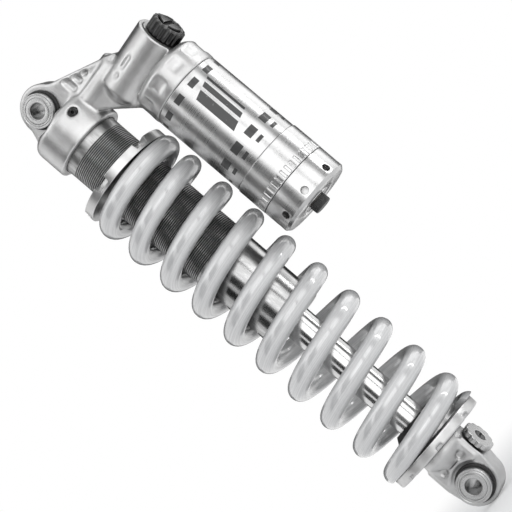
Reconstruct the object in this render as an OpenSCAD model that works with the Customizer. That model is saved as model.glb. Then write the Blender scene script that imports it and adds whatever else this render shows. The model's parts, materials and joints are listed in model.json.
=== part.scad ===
// Coil-over rear shock for a bicycle, with a piggyback reservoir.
// The origin is the centre of the upper eyelet. The shock hangs down -Z, both eyelets are
// bored along Y and the reservoir stands on the +X side. Depths are measured down from the origin.

/* [Overall] */
// Distance between the two eyelet centres at full extension
eye_to_eye = 266.7; // [255:0.1:280]
// Stroke of the shaft
travel = 70; // [50:1:72]

/* [Eyelets] */
// Width of each eyelet along its bore
eyelet_w = 12.7; // [11:0.1:15]
// Outer radius of the upper eyelet
upper_eye_r = 12.4; // [11:0.1:14]
// Outer radius of the lower eyelet
lower_eye_r = 11.6; // [10:0.1:13]
// Width over the mounting hardware, face to face
mount_w = 22.2; // [20:0.1:25.4]
// Radius of the bolt bore in each pin
bolt_r = 4; // [3:0.1:4.5]
// Outer radius of the pin that turns in the eyelet
pin_r = 6.35; // [5.5:0.05:7]
// Wall of the plain bush pressed into the eyelet
bush_wall = 1.2; // [0.8:0.1:2]
// Outer radius of the spacers on each side of the eyelet
spacer_r = 8.4; // [8:0.1:9.2]
// Thickness of the dust seal between an eyelet and its spacer
dust_seal_t = 1.3; // [1:0.1:1.6]

/* [Damper] */
// Outer radius of the threaded damper body
body_r = 16.5; // [15.5:0.1:17]
// Wall of the damper body
body_wall = 2.5; // [2:0.1:3.5]
// Depth at which the thread ends
thread_end = 110; // [95:1:125]
// How much the plain part of the body is turned down below the thread
thread_relief = 0.35; // [0.1:0.05:0.6]
// Radius of the shaft
shaft_r = 7.94; // [7:0.01:8.2]
// Length of the seal head inside the body
seal_head_len = 19; // [17:0.5:24]
// Thickness of the seal head's outer flange
seal_flange = 2; // [1.5:0.1:3]
// Thickness of the main piston
piston_t = 10; // [8:0.5:12]

/* [Head] */
// Wall of the head collar round the damper body
head_wall = 3.25; // [2.5:0.05:4]
// Depth of the top shoulder of the head collar
head_shoulder = 12.5; // [11:0.1:14]
// Depth of the lower face of the head collar
head_end = 27.5; // [25:0.5:31]
// Depth of the compression tower's axis
tower_depth = 26.3; // [24.5:0.1:27.5]
// Outer radius of the compression tower
tower_r = 12.5; // [11.5:0.1:13]
// Distance of the tower's end face from the shock axis
tower_end = 65; // [62:0.5:67]
// Thickness of the web that ties the eyelet to the tower
web_t = 12; // [7:0.5:12.5]

/* [Reservoir] */
// Distance between the shock axis and the reservoir axis
reservoir_x = 52.4; // [50:0.1:58]
// Outer radius of the reservoir tube
reservoir_r = 19.3; // [18:0.1:20]
// Bore radius of the reservoir tube
reservoir_bore_r = 16.3; // [15:0.1:16.6]
// Depth of the lower face of the reservoir head
reservoir_head_end = 50.7; // [47:0.1:54]
// Length of the plain tube below the reservoir head
reservoir_tube_len = 49.1; // [44:0.1:56]
// Length of the end sleeve
sleeve_len = 15.8; // [14:0.1:19]
// Length of the bottom-out dial
dial_len = 13.6; // [11:0.1:16]
// Radius of the pin-spanner holes round the dial
dial_hole_r = 2; // [1.5:0.1:2.5]
// Turns of the bottom-out dial from open to full
bottom_out_turns = 3; // [1:1:3]
// Rise of the bottom-out piston for each turn of its dial
bottom_out_pitch = 2.5; // [1:0.1:2.5]

/* [Spring] */
// Wire diameter
wire_d = 10.2; // [8.5:0.1:10.6]
// Inner radius of the coil
coil_inner_r = 18.4; // [17.9:0.1:20]
// Full pitch of the middle coils
coil_pitch = 19.65; // [18:0.01:21]
// Pitch at the very ends, where the coil closes up
end_pitch = 3.4; // [2.5:0.1:5]
// Angle at which the wire starts under the preload collar
coil_start = 86; // [0:1:360]

/* [Spring seats] */
// Depth of the preload collar's lower face, where the spring starts
collar_face = 53; // [50:0.5:56]
// Thickness of the preload collar
collar_t = 4.8; // [4.5:0.1:7]
// Outer radius of the preload collar
collar_r = 26.5; // [25:0.1:28]
// Number of spanner notches round the collar
collar_notches = 6; // [4:1:8]
// Outer radius of the lower spring seat
seat_r = 26; // [24:0.1:27]
// Thickness of the lower spring seat
seat_t = 5; // [4.5:0.1:7]
// Distance from the lower eyelet centre up to the seat's lower face
seat_height = 22.7; // [21.5:0.1:26]
// Height of the bump stop
bump_h = 12; // [8:0.5:12]

/* [Adjusters] */
// Radius of the high-speed dial
high_dial_r = 8.6; // [8:0.1:10]
// Thickness of the high-speed dial
high_dial_t = 6.8; // [5.5:0.1:7.5]
// How far the high-speed dial moves its sleeve
high_speed_stroke = 2; // [1:0.1:2.5]
// How far the low-speed knob moves its needle
low_speed_stroke = 1.5; // [0.5:0.1:2]
// Radius of the low-speed knob
low_knob_r = 5.4; // [4.6:0.1:6]
// Radius of the rebound knob
rebound_knob_r = 7.8; // [6.5:0.1:8.2]
// Thickness of the rebound knob
rebound_knob_t = 2.8; // [2.4:0.1:5]
// Height of the rebound knob's axis above the lower eyelet centre
rebound_height = 12.4; // [11.5:0.1:15]

/* [Fits] */
// Radial clearance of running fits
run_fit = 0.05; // [0.02:0.01:0.1]
// Radial clearance of screwed and pressed joints
seat_fit = 0.03; // [0.01:0.01:0.06]
// Gap between faces that pass each other
face_gap = 0.3; // [0.2:0.05:0.5]

/* [Hidden] */
$fn = 96;
eps = 0.01;
cut = 1;

// Eyelet hardware
bush_r = pin_r + run_fit + bush_wall;
spacer_w = (mount_w - eyelet_w) / 2 - dust_seal_t - run_fit;
dust_seal_r = spacer_r + 1.1;
tab_relief_r = spacer_r + 2.6;

// Damper stack, from the top of the body down
socket_depth = 9;
body_top = head_end - socket_depth;
body_bore_r = body_r - body_wall;
collar_socket_r = body_r + head_wall;
bump_gap = 1;
body_end = eye_to_eye - seat_height - seat_t - bump_h - bump_gap - travel - seal_flange;
body_seal_t = 0.6 * body_wall;
seal_top = body_end - seal_head_len;
shaft_bush_top = seal_top + 3;
shaft_bush_len = 7;
shaft_bush_low = shaft_bush_top + shaft_bush_len;
shaft_bush_wall = 1.6;
shaft_seal_top = shaft_bush_low + 1;
shaft_seal_low = shaft_seal_top + 3;
shaft_seal_wall = 2.6;
wiper_top = body_end - 2;
wiper_wall = 2.2;
head_seal_drop = 6;
head_seal_depth = seal_top + head_seal_drop;
bumper_t = 2;
piston_low = seal_top - bumper_t - face_gap;
piston_top = piston_low - piston_t;
shim_t = 1.2;
shim_stack = 3;
shim_r = 0.75 * body_bore_r;
nut_t = 6;
spigot_r = 4;
shaft_top = piston_top - shim_stack - nut_t - 1.5;
rod_r = 2.4;
plain_r = body_r - thread_relief;

// Lower end
seat_low = eye_to_eye - seat_height;
seat_top = seat_low - seat_t;
seat_lip_r = coil_inner_r - 0.6;
seat_lip_h = 3.5;
bump_bore_r = shaft_r + face_gap;
bump_wall = 5;
bump_top = seat_top - bump_h;
block_top = seat_low + run_fit;
shaft_end = seat_low + 6;
rebound_depth = eye_to_eye - rebound_height;
block_r = 12.8;
block_y = eyelet_w / 2 + 0.9;
knob_stem_r = 2.6;
knob_face = block_r + 1.2 + rebound_knob_t;

// Reservoir stack
tube_top = reservoir_head_end - 8;
tube_low = reservoir_head_end + reservoir_tube_len;
tube_neck_r = (reservoir_r + reservoir_bore_r) / 2;
tube_seal_t = 0.8 * (tube_neck_r - reservoir_bore_r);
sleeve_r = reservoir_r + 0.4;
sleeve_end = tube_low + sleeve_len;
sleeve_floor = 4.6;
dial_top = sleeve_end + face_gap;
dial_end = dial_top + dial_len;
dial_r = sleeve_r - 0.1;
hub_r = 6;
float_t = 12;
float_top = reservoir_head_end + 9;
cap_piston_t = 6;
cap_piston_low = sleeve_end - sleeve_floor - 3;
valve_r = 3.9;
valve_cap_r = 4.6;
valve_end = dial_end + 3;

// Compression tower stack, from the tower's bore outwards
bore_r = tower_r - 2.4;
tower_len = 32;
tower_floor = 4;
tower_start = tower_end - tower_len;
bore_start = tower_start + tower_floor;
shoulder_top = tower_depth + high_dial_r + 1.2;
neck_r = tower_r - 1;
neck_top = tower_depth + 6;
res_head_r = reservoir_r + 0.3;
web_from = [upper_eye_r + 0.3, 4.4];
web_run = 20;
web_to = [tower_end - web_run, -(tower_depth - tower_r - 0.8)];
bay_start = 17;
bay_pitch = 4.8;
bay_w = 3.6;
bleed_r = 2;
bleed_len = 4.2;
bleed_x = 0.65 * collar_socket_r;
bleed_face = 0.72 * collar_socket_r;
bleed_depth = body_top - 3;
bridge_depth = tower_depth - 9.6;
bridge_r = tower_r - 4;
gusset_t = 2 * bridge_r - 1;
nose_len = 7;
nose_r = tower_r - 7;
cartridge_r = bore_r - seat_fit;
needle_r = 1.5;
stem_r = 5;
valve_head = bore_start + 1;
shims_start = valve_head + 5;
cartridge_cap_t = 10;
cartridge_cap = tower_end - cartridge_cap_t;
dial_start = tower_end + face_gap;
knob_start = dial_start + 1.2;
knob_end = dial_start + high_dial_t + 0.8;
oring_t = 2;

// Spring
coil_r = coil_inner_r + wire_d / 2;
grind_top = 3;
grind_low = -2.4;
spring_top = collar_face;
spring_low = seat_top;
end_turn = (end_pitch + coil_pitch) / 2;
wire_drop = spring_low - spring_top - grind_top - grind_low;
coil_turns = 2 + (wire_drop - 2 * end_turn) / coil_pitch;
rings_per_turn = 20;
wire_sides = 12;

// A ring or plug about the shock axis, between two depths
module ring(top, low, outer, inner = 0) {
    translate([0, 0, -low])
        difference() {
            cylinder(h = low - top, r = outer);
            if (inner > 0)
                translate([0, 0, -cut]) cylinder(h = low - top + 2 * cut, r = inner);
        }
}

// The same about the reservoir axis
module res_ring(top, low, outer, inner = 0) {
    translate([reservoir_x, 0, 0]) ring(top, low, outer, inner);
}

// A rod along X at a given depth
module x_rod(from, to, depth, radius) {
    translate([from, 0, -depth]) rotate([0, 90, 0]) cylinder(h = to - from, r = radius);
}

// A hollow rod along X
module x_tube(from, to, depth, outer, inner) {
    difference() {
        x_rod(from, to, depth, outer);
        x_rod(from - cut, to + cut, depth, inner);
    }
}

// A rod along Y at a given depth
module y_rod(from, to, depth, radius) {
    translate([0, from, -depth]) rotate([-90, 0, 0]) cylinder(h = to - from, r = radius);
}

// A hollow rod along Y
module y_tube(from, to, depth, outer, inner) {
    difference() {
        y_rod(from, to, depth, outer);
        y_rod(from - cut, to + cut, depth, inner);
    }
}

// A mirrored pair, on both sides of the eyelet
module both_sides() {
    children();
    mirror([0, 1, 0]) children();
}

// Height of the web's slanted edge at a given x
web_slope = (web_to[1] - web_from[1]) / (web_to[0] - web_from[0]);
function web_edge(x) = web_from[1] + (x - web_from[0]) * web_slope;

// The side outline of the web between the eyelet and the tower, drawn as x and z
module web_outline() {
    low = -bridge_depth;
    root_x = upper_eye_r / 2;
    polygon([[root_x, 9.5], web_from, web_to, [web_to[0], low], [root_x, low]]);
}

// One bay of the web's ribbed pocket
module web_bay(from, to) {
    rim = 2;
    low = -(bridge_depth - bridge_r + 0.1);
    polygon([[from, web_edge(from) - rim], [to, web_edge(to) - rim], [to, low], [from, low]]);
}

// The side outline of the thick gusset that joins the damper socket, the bridge and the tower
module gusset_outline() {
    from_x = upper_eye_r / 2;
    to_x = tower_start + 5;
    heel_x = collar_socket_r - 1;
    toe_x = reservoir_x - res_head_r + 0.8;
    top = -(bridge_depth - bridge_r + 2.4);
    heel = -(bridge_depth + bridge_r - 2.5);
    toe = -(shoulder_top + 3);
    polygon([[from_x, top], [to_x, top - 2], [to_x, toe], [toe_x, toe], [heel_x, heel], [from_x, heel]]);
}

// A slab of an outline drawn in x and z
module slab(thickness) {
    translate([0, thickness / 2, 0]) rotate([90, 0, 0]) linear_extrude(thickness) children();
}

// Forged head: upper eyelet, damper socket, compression tower and reservoir socket
module head_casting() {
    pocket_depth = 1.8;
    dimples = 10;
    dimple_w = 6.5;
    dimple_h = 6;
    dimple_depth = 0.7;
    dome_top = head_shoulder - 3.5;
    dome_r = collar_socket_r - 2.6;
    color("gainsboro") difference() {
        union() {
            y_rod(-eyelet_w / 2, eyelet_w / 2, 0, upper_eye_r);
            rotate_extrude()
                polygon([[0, -dome_top], [dome_r, -dome_top], [collar_socket_r - 0.6, -(head_shoulder - 1.8)],
                    [collar_socket_r, -head_shoulder], [collar_socket_r, -head_end], [0, -head_end]]);
            slab(eyelet_w) polygon([[1.5 - upper_eye_r, 2], [upper_eye_r - 1.5, 2],
                [dome_r - 1, -dome_top - cut], [1 - dome_r, -dome_top - cut]]);
            x_rod(0, tower_start + 8, bridge_depth, bridge_r);
            translate([tower_start - nose_len, 0, -tower_depth]) rotate([0, 90, 0]) rotate_extrude()
                polygon([[0, 0], [nose_r, 0], [tower_r, nose_len], [tower_r, nose_len + tower_len],
                    [0, nose_len + tower_len]]);
            slab(web_t) web_outline();
            slab(gusset_t) gusset_outline();
            translate([reservoir_x, 0, 0]) rotate_extrude()
                polygon([[0, -neck_top], [neck_r - 4.5, -neck_top], [neck_r, -shoulder_top],
                    [res_head_r - 2.6, -shoulder_top], [res_head_r, -(shoulder_top + 2.8)],
                    [res_head_r, -reservoir_head_end], [0, -reservoir_head_end]]);
        }
        // Eyelet bore and the room for the frame's mounting tabs
        y_rod(-eyelet_w, eyelet_w, 0, bush_r + seat_fit);
        both_sides() y_rod(eyelet_w / 2, collar_socket_r + cut, 0, tab_relief_r);
        // Socket for the damper body, and its port to the tower
        ring(body_top, head_end + cut, body_r + seat_fit);
        ring(bridge_depth, body_top + cut, 6);
        x_rod(0, bore_start + cut, bridge_depth, 4);
        // Cartridge bore, and its port to the reservoir
        x_rod(bore_start, tower_end + cut, tower_depth, bore_r);
        res_ring(tower_depth, tube_top + cut, 4);
        res_ring(tube_top, reservoir_head_end + cut, tube_neck_r + seat_fit);
        // Shallow dimples round the reservoir head and on the tower's flanks
        for (i = [0 : dimples - 1]) translate([reservoir_x, 0, 0]) rotate([0, 0, 360 * (i + 0.5) / dimples])
            translate([res_head_r - dimple_depth, -dimple_w / 2, -(shoulder_top + 4 + dimple_h)])
                cube([dimple_depth + cut, dimple_w, dimple_h]);
        both_sides() tower_dimples();
        // Ribbed pockets on both faces of the web
        both_sides() translate([0, web_t / 2, 0]) slab(2 * pocket_depth)
            for (bay = [0 : 2]) web_bay(bay_start + bay_pitch * bay, bay_start + bay_pitch * bay + bay_w);
        // Threaded hole for the bleed screw
        bleed_hole();
    }
}

// A round and a long dimple on one flank of the tower
module tower_dimples() {
    mark_r = 1.6;
    depth = tower_depth - 0.35 * tower_r;
    translate([tower_start + 7, 0, 0]) y_rod(tower_r - 1.6, tower_r + cut, depth, mark_r);
    translate([0, tower_r - 0.1, 0]) x_rod(tower_start + 11, tower_end - 13, depth, mark_r);
}

// Threaded hole that the bleed screw closes
module bleed_hole() {
    translate([bleed_x, 0, 0])
        y_rod(-collar_socket_r, bleed_len - bleed_face, bleed_depth, bleed_r + seat_fit);
}

// Socket-head screw that closes the oil bleed port
module bleed_screw() {
    color("dimgray") translate([bleed_x, 0, 0]) difference() {
        y_rod(-bleed_face, bleed_len - bleed_face, bleed_depth, bleed_r);
        y_rod(-bleed_face - cut, bleed_len / 3 - bleed_face, bleed_depth, bleed_r / 2, $fn = 6);
    }
}

// Hardware of one eyelet, given the depth of its centre
module eye_bush(depth) {
    color("darkgoldenrod") y_tube(-eyelet_w / 2, eyelet_w / 2, depth, bush_r, pin_r + run_fit);
}

module eye_seals(depth) {
    color("black") both_sides()
        y_tube(eyelet_w / 2, eyelet_w / 2 + dust_seal_t, depth, dust_seal_r, pin_r + seat_fit);
}

module eye_pin(depth) {
    color("silver") y_tube(-mount_w / 2, mount_w / 2, depth, pin_r, bolt_r);
}

module eye_spacers(depth) {
    color("whitesmoke") both_sides()
        y_tube(mount_w / 2 - spacer_w, mount_w / 2, depth, spacer_r, pin_r + seat_fit);
}

module upper_bush() eye_bush(0);
module upper_dust_seals() eye_seals(0);
module upper_pin() eye_pin(0);
module upper_spacers() eye_spacers(0);
module lower_bush() eye_bush(eye_to_eye);
module lower_dust_seals() eye_seals(eye_to_eye);
module lower_pin() eye_pin(eye_to_eye);
module lower_spacers() eye_spacers(eye_to_eye);

// Damper tube, threaded outside for the preload collar
module damper_body() {
    color("darkgray") difference() {
        union() {
            ring(body_top, thread_end, body_r);
            ring(thread_end, body_end, plain_r);
        }
        ring(body_top - cut, body_end + cut, body_bore_r);
        oring_groove(body_top + 3, body_r, body_seal_t);
    }
}

// A square groove round a cylinder, and the seal of the given section that sits in it
module oring_groove(depth, outer, section) {
    ring(depth - section / 2 - 0.1, depth + section / 2 + 0.1, outer + cut, outer - section * 0.9);
}

module oring(depth, outer, section) {
    ring(depth - section / 2, depth + section / 2, outer, outer - section * 0.9);
}

module body_oring() {
    color("black") oring(body_top + 3, body_r, body_seal_t);
}

// Seal head that closes the body and guides the shaft
module seal_head() {
    color("lightgray") difference() {
        union() {
            ring(seal_top, body_end, body_bore_r - seat_fit);
            ring(body_end, body_end + seal_flange, plain_r - 0.6);
        }
        ring(seal_top - cut, body_end + seal_flange + cut, shaft_r + face_gap);
        ring(shaft_bush_top, shaft_bush_low, shaft_r + shaft_bush_wall);
        ring(shaft_seal_top, shaft_seal_low, shaft_r + shaft_seal_wall);
        ring(wiper_top, body_end + seal_flange + cut, shaft_r + wiper_wall);
        oring_groove(head_seal_depth, body_bore_r - seat_fit, oring_t);
    }
}

module seal_head_oring() {
    color("black") oring(head_seal_depth, body_bore_r - seat_fit, oring_t);
}

module shaft_bush() {
    color("darkgoldenrod") ring(shaft_bush_top, shaft_bush_low, shaft_r + shaft_bush_wall, shaft_r + run_fit);
}

module shaft_seal() {
    color("black") ring(shaft_seal_top, shaft_seal_low, shaft_r + shaft_seal_wall, shaft_r + run_fit);
}

module wiper_seal() {
    color("black") ring(wiper_top, body_end + seal_flange - 0.2, shaft_r + wiper_wall, shaft_r + run_fit);
}

// Soft ring that the piston meets at full extension
module top_out_bumper() {
    color("black") ring(seal_top - bumper_t, seal_top, body_bore_r - 3, shaft_r + face_gap);
}

// Threaded collar that loads the spring, with spanner notches in its rim
module preload_collar() {
    notch_w = 7;
    notch_depth = 5;
    notch_low = collar_face - 1.4;
    spigot_h = 3.5;
    color("gainsboro") difference() {
        union() {
            ring(collar_face - collar_t, collar_face, collar_r);
            ring(collar_face, collar_face + spigot_h, seat_lip_r);
        }
        ring(collar_face - collar_t - cut, collar_face + spigot_h + cut, body_r + run_fit);
        ring(collar_face - 3, collar_face - 1, body_r + 1.6);
        for (i = [0 : collar_notches - 1])
            rotate([0, 0, (i + 0.5) * 360 / collar_notches])
                translate([collar_r - notch_depth, -notch_w / 2, -notch_low])
                    cube([notch_depth + cut, notch_w, collar_t]);
    }
}

// Friction ring in the collar's groove, which holds its setting
module collar_oring() {
    color("black")
        ring(collar_face - 3 + run_fit, collar_face - 1 - run_fit, body_r + 1.6 - run_fit, body_r + run_fit);
}

// Distance of the wire's centre below its start after a number of turns
function ramp(t) = end_pitch * t + (coil_pitch - end_pitch) * t * t / 2;
function coil_drop(t) = t < 1 ? ramp(t)
    : t <= coil_turns - 1 ? end_turn + coil_pitch * (t - 1)
    : 2 * end_turn + coil_pitch * (coil_turns - 2) - ramp(coil_turns - t);
function coil_point(t) = [coil_r * cos(coil_start - 360 * t), coil_r * sin(coil_start - 360 * t),
    -(spring_top + grind_top + coil_drop(t))];
function wire_point(t, side) = let (turn = coil_start - 360 * t, swing = 360 * side / wire_sides,
    reach = coil_r + wire_d / 2 * cos(swing))
    [reach * cos(turn), reach * sin(turn), coil_point(t)[2] + wire_d / 2 * sin(swing)];

wire_rings = ceil(coil_turns * rings_per_turn);
wire_points = [for (i = [0 : wire_rings], k = [0 : wire_sides - 1])
    wire_point(i * coil_turns / wire_rings, k)];
wire_faces = concat(
    [for (i = [0 : wire_rings - 1], k = [0 : wire_sides - 1])
        [i * wire_sides + k, i * wire_sides + (k + 1) % wire_sides, (i + 1) * wire_sides + k]],
    [for (i = [0 : wire_rings - 1], k = [0 : wire_sides - 1])
        [i * wire_sides + (k + 1) % wire_sides, (i + 1) * wire_sides + (k + 1) % wire_sides,
            (i + 1) * wire_sides + k]],
    [for (k = [1 : wire_sides - 2]) [0, k + 1, k]],
    [for (k = [1 : wire_sides - 2])
        [wire_rings * wire_sides, wire_rings * wire_sides + k, wire_rings * wire_sides + k + 1]]);

// Least clear distance between neighbouring turns, measured on points of the wire's centre
coil_gap = min([for (t = [0 : 0.05 : coil_turns - 1], s = [0.9 : 0.02 : 1.1])
    if (t + s <= coil_turns) norm(coil_point(t + s) - coil_point(t))]) - wire_d;
echo(coil_turns = coil_turns, coil_gap = coil_gap);

// Coil spring: one unbroken wire with closed ends ground flat
module coil_spring() {
    color("lightgray") intersection() {
        polyhedron(points = wire_points, faces = wire_faces, convexity = 12);
        ring(spring_top, spring_low, coil_r + wire_d);
    }
}

// Slotted seat that holds the lower end of the spring
module lower_spring_seat() {
    slot_w = 2 * (shaft_r + face_gap);
    notch = 1.8;
    color("gainsboro") difference() {
        union() {
            ring(seat_top, seat_low, seat_r);
            ring(seat_top - seat_lip_h, seat_top, seat_lip_r, bump_bore_r + bump_wall + 0.5);
        }
        ring(seat_top - seat_lip_h - cut, seat_low + cut, shaft_r + face_gap);
        translate([-slot_w / 2, 0, -seat_low - cut])
            cube([slot_w, seat_r + cut, seat_t + seat_lip_h + 2 * cut]);
        for (i = [0 : 7]) rotate([0, 0, 22.5 + 45 * i])
            translate([seat_r - notch, -notch, -seat_low - cut]) cube([notch + cut, 2 * notch, cut + notch]);
    }
}

// Rubber bump stop on the shaft
module bump_stop() {
    color("black") rotate_extrude()
        polygon([[bump_bore_r, -bump_top], [bump_bore_r + 2.2, -bump_top],
            [bump_bore_r + 4.4, -(bump_top + bump_h / 4)], [bump_bore_r + 3.2, -(bump_top + bump_h / 2)],
            [bump_bore_r + bump_wall, -(seat_top - bump_h / 4)], [bump_bore_r + bump_wall, -seat_top],
            [bump_bore_r, -seat_top]]);
}

// Hollow shaft, with a spigot for the piston at the top
module shaft() {
    color("silver") difference() {
        union() {
            ring(shaft_top, piston_low + eps, spigot_r);
            ring(piston_low, shaft_end, shaft_r);
        }
        ring(shaft_top - cut, shaft_end + cut, rod_r + run_fit);
    }
}

// Ported piston on the shaft's spigot
module main_piston() {
    ports = 6;
    color("lightgray") difference() {
        ring(piston_top, piston_low - shim_t, body_bore_r - run_fit, spigot_r + seat_fit);
        ring(piston_top + 2.5, piston_low - shim_t - 2.5, body_bore_r + cut, body_bore_r - 1.2);
        for (i = [0 : ports - 1]) rotate([0, 0, 60 * i]) translate([9, 0, 0])
            ring(piston_top - cut, piston_low + cut, 1.6);
    }
}

// Low-friction band in the piston's groove
module piston_band() {
    color("dimgray")
        ring(piston_top + 2.5, piston_low - shim_t - 2.5, body_bore_r - run_fit, body_bore_r - 1.2);
}

module compression_shims() {
    color("silver") ring(piston_low - shim_t, piston_low, shim_r, spigot_r + seat_fit);
}

module rebound_shims() {
    color("silver") {
        ring(piston_top - shim_t, piston_top, shim_r, spigot_r + seat_fit);
        ring(piston_top - shim_stack, piston_top - shim_t, 2 * spigot_r, spigot_r + seat_fit);
    }
}

module piston_nut() {
    color("dimgray") difference() {
        translate([0, 0, -(piston_top - shim_stack)]) cylinder(h = nut_t, r = 2 * spigot_r, $fn = 6);
        ring(piston_top - shim_stack - nut_t - cut, piston_top, spigot_r + seat_fit);
    }
}

// Rod inside the shaft that the rebound knob moves
module rebound_rod() {
    color("silver") ring(shaft_top + 2, rebound_depth - knob_stem_r - 0.6, rod_r);
}

// Forged lower eyelet with the socket for the shaft
module shaft_eyelet() {
    boss_h = 4;
    taper_h = 6;
    taper_r = block_y + 1;
    shoulder = 21;
    mark_r = 2.2;
    mark_x = 6;
    mark_depth = 0.8;
    mark_height = rebound_height + 1.3;
    color("gainsboro") difference() {
        union() {
            y_rod(-eyelet_w / 2, eyelet_w / 2, eye_to_eye, lower_eye_r);
            intersection() {
                ring(block_top, eye_to_eye - lower_eye_r + 4, block_r);
                translate([-block_r, -block_y, -eye_to_eye])
                    cube([2 * block_r, 2 * block_y, shoulder + 4]);
            }
            rotate_extrude()
                polygon([[0, -block_top], [block_r, -block_top], [block_r, -(seat_low + boss_h)],
                    [taper_r, -(seat_low + boss_h + taper_h)], [0, -(seat_low + boss_h + taper_h)]]);
            slab(eyelet_w) polygon([[-block_r, -(seat_low + boss_h)], [block_r, -(seat_low + boss_h)],
                [block_r, -(rebound_depth + 6)], [lower_eye_r, -eye_to_eye], [-lower_eye_r, -eye_to_eye],
                [-block_r, -(rebound_depth + 6)]]);
        }
        y_rod(-eyelet_w, eyelet_w, eye_to_eye, bush_r + seat_fit);
        both_sides() y_rod(eyelet_w / 2, block_r + cut, eye_to_eye, tab_relief_r);
        ring(seat_low - cut, shaft_end, shaft_r + seat_fit);
        ring(shaft_end - cut, rebound_depth + knob_stem_r, rod_r + face_gap);
        x_rod(-rod_r, block_r + cut, rebound_depth, knob_stem_r + run_fit);
        for (side = [-1, 1]) translate([side * mark_x, 0, 0]) both_sides()
            y_rod(block_y - mark_depth, block_y + cut, eye_to_eye - mark_height, mark_r);
    }
}

// Rebound knob with its stem, whose eccentric tip moves the rod
module rebound_knob() {
    grips = 12;
    color("gainsboro") difference() {
        union() {
            x_rod(block_r + 1.2, knob_face, rebound_depth, rebound_knob_r);
            x_rod(-rod_r + face_gap, block_r + 1.2 + eps, rebound_depth, knob_stem_r);
        }
        for (i = [0 : grips - 1]) translate([0, 0, -rebound_depth]) rotate([360 * i / grips, 0, 0])
            translate([block_r, 0, rebound_knob_r + 0.5]) rotate([0, 90, 0]) cylinder(h = 10, r = 1.1);
        x_rod(knob_face - 1.5, knob_face + cut, rebound_depth, 3);
    }
}

// Small screw that holds the rebound knob on its stem
module rebound_knob_screw() {
    color("black") difference() {
        x_rod(knob_face - 1.5, knob_face - 0.3, rebound_depth, 3 - seat_fit);
        translate([knob_face - 1, -4, -rebound_depth - 0.6]) cube([2, 8, 1.2]);
    }
}

// Reservoir tube, screwed into the head above and into the end sleeve below
module reservoir_tube() {
    color("gainsboro") difference() {
        union() {
            res_ring(tube_top, sleeve_end - sleeve_floor, tube_neck_r);
            res_ring(reservoir_head_end, tube_low, reservoir_r);
        }
        res_ring(tube_top - cut, sleeve_end, reservoir_bore_r);
        translate([reservoir_x, 0, 0]) oring_groove(tube_top + 4, tube_neck_r, tube_seal_t);
    }
}

module reservoir_oring() {
    color("black") translate([reservoir_x, 0, 0]) oring(tube_top + 4, tube_neck_r, tube_seal_t);
}

// Piston between the oil and the gas
module floating_piston() {
    color("lightgray") difference() {
        res_ring(float_top, float_top + float_t, reservoir_bore_r - run_fit);
        res_ring(float_top + 5, float_top + float_t + cut, 10);
        translate([reservoir_x, 0, 0]) oring_groove(float_top + 3, reservoir_bore_r - run_fit, oring_t);
    }
}

module floating_piston_oring() {
    color("black") translate([reservoir_x, 0, 0]) oring(float_top + 3, reservoir_bore_r - run_fit, oring_t);
}

// Sleeve that closes the reservoir, with an index band round it
module end_sleeve() {
    marks = 40;
    band_h = 4.2;
    color("gainsboro") difference() {
        res_ring(tube_low, sleeve_end, sleeve_r);
        res_ring(tube_low - cut, sleeve_end - sleeve_floor, tube_neck_r + seat_fit);
        res_ring(sleeve_end - sleeve_floor - cut, sleeve_end + cut, hub_r + run_fit);
        for (i = [0 : marks - 1]) translate([reservoir_x, 0, 0]) rotate([0, 0, 360 * i / marks])
            translate([sleeve_r - 0.35, -0.6, -sleeve_end + 0.4]) cube([1, 1.2, band_h]);
    }
}

// Piston that the bottom-out dial raises in the gas chamber
module bottom_out_piston() {
    color("lightgray") difference() {
        res_ring(cap_piston_low - cap_piston_t, cap_piston_low, reservoir_bore_r - run_fit, hub_r + run_fit);
        translate([reservoir_x, 0, 0])
            oring_groove(cap_piston_low - cap_piston_t / 2, reservoir_bore_r - run_fit, oring_t);
    }
}

module bottom_out_oring() {
    color("black") translate([reservoir_x, 0, 0])
        oring(cap_piston_low - cap_piston_t / 2, reservoir_bore_r - run_fit, oring_t);
}

// Dial at the reservoir's end, with pin-spanner holes, a screwed hub and the air passage
module bottom_out_dial() {
    holes = 8;
    rim = 1.5;
    hub_top = cap_piston_low - cap_piston_t - bottom_out_turns * bottom_out_pitch;
    color("gainsboro") difference() {
        union() {
            translate([reservoir_x, 0, 0]) rotate_extrude()
                polygon([[0, -dial_top], [dial_r, -dial_top], [dial_r, -(dial_end - rim)],
                    [dial_r - rim, -dial_end], [0, -dial_end]]);
            res_ring(hub_top, dial_top + eps, hub_r);
        }
        res_ring(hub_top - cut, dial_end, 2);
        res_ring(dial_end - 8, dial_end + cut, valve_r + seat_fit);
        res_ring(dial_end - 2.2, dial_end + cut, 10.5, valve_cap_r + 3.2);
        for (i = [0 : holes - 1]) translate([reservoir_x, 0, -(dial_end - 4.5)])
            rotate([0, 0, 20 + 360 * i / holes]) translate([dial_r - 5, 0, 0]) rotate([0, 90, 0])
                cylinder(h = 6, r = dial_hole_r);
    }
}

// Gas filling valve in the middle of the dial
module air_valve() {
    color("darkgoldenrod") difference() {
        res_ring(dial_end - 8, valve_end, valve_r);
        res_ring(dial_end - 8 - cut, valve_end + cut, 1.4);
    }
}

module valve_pin() {
    color("silver") res_ring(dial_end - 6, valve_end - 0.5, 1.4 - run_fit);
}

module valve_cap() {
    color("black") difference() {
        res_ring(dial_end + face_gap, valve_end + 1.5, valve_cap_r);
        res_ring(dial_end, valve_end + face_gap, valve_r + run_fit);
    }
}

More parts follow.
